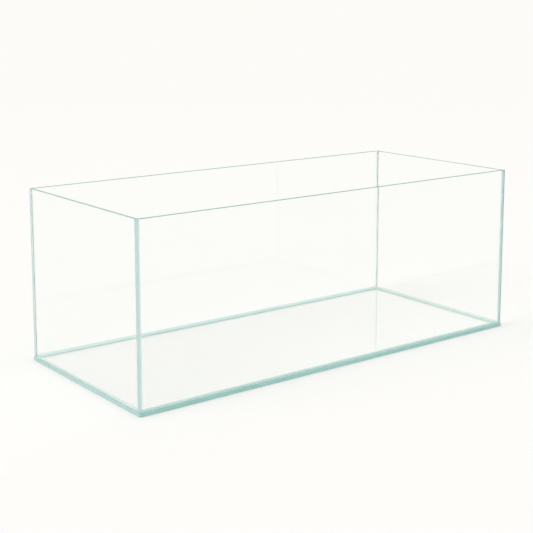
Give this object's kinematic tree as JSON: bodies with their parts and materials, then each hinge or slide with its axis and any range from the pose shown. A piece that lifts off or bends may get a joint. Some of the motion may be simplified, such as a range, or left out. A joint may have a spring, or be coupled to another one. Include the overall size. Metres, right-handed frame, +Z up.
{
  "type": "glass aquarium tank",
  "caption": "Rimless open-top rectangular aquarium of clear glass panes bonded edge to edge with clear silicone.",
  "frame": {"origin": "middle of the underside of the base pane, on the surface that the tank stands on", "axes": "+X along the tank's length to the right, +Y from the front pane to the back pane, +Z up"},
  "size_m": [0.8, 0.35, 0.3],
  "materials": {
    "glass": "clear float glass with ground and polished edges",
    "silicone": "clear cured silicone, slightly hazy"
  },
  "bodies": {
    "root": {"base_pane": "glass", "front_pane": "glass", "back_pane": "glass", "left_pane": "glass", "right_pane": "glass", "front_base_bond": "silicone", "back_base_bond": "silicone", "left_base_bond": "silicone", "right_base_bond": "silicone", "front_left_corner_bond": "silicone", "front_right_corner_bond": "silicone", "back_left_corner_bond": "silicone", "back_right_corner_bond": "silicone", "front_base_bead": "silicone", "back_base_bead": "silicone", "left_base_bead": "silicone", "right_base_bead": "silicone", "front_left_corner_bead": "silicone", "front_right_corner_bead": "silicone", "back_left_corner_bead": "silicone", "back_right_corner_bead": "silicone"}
  },
  "joints": []
}
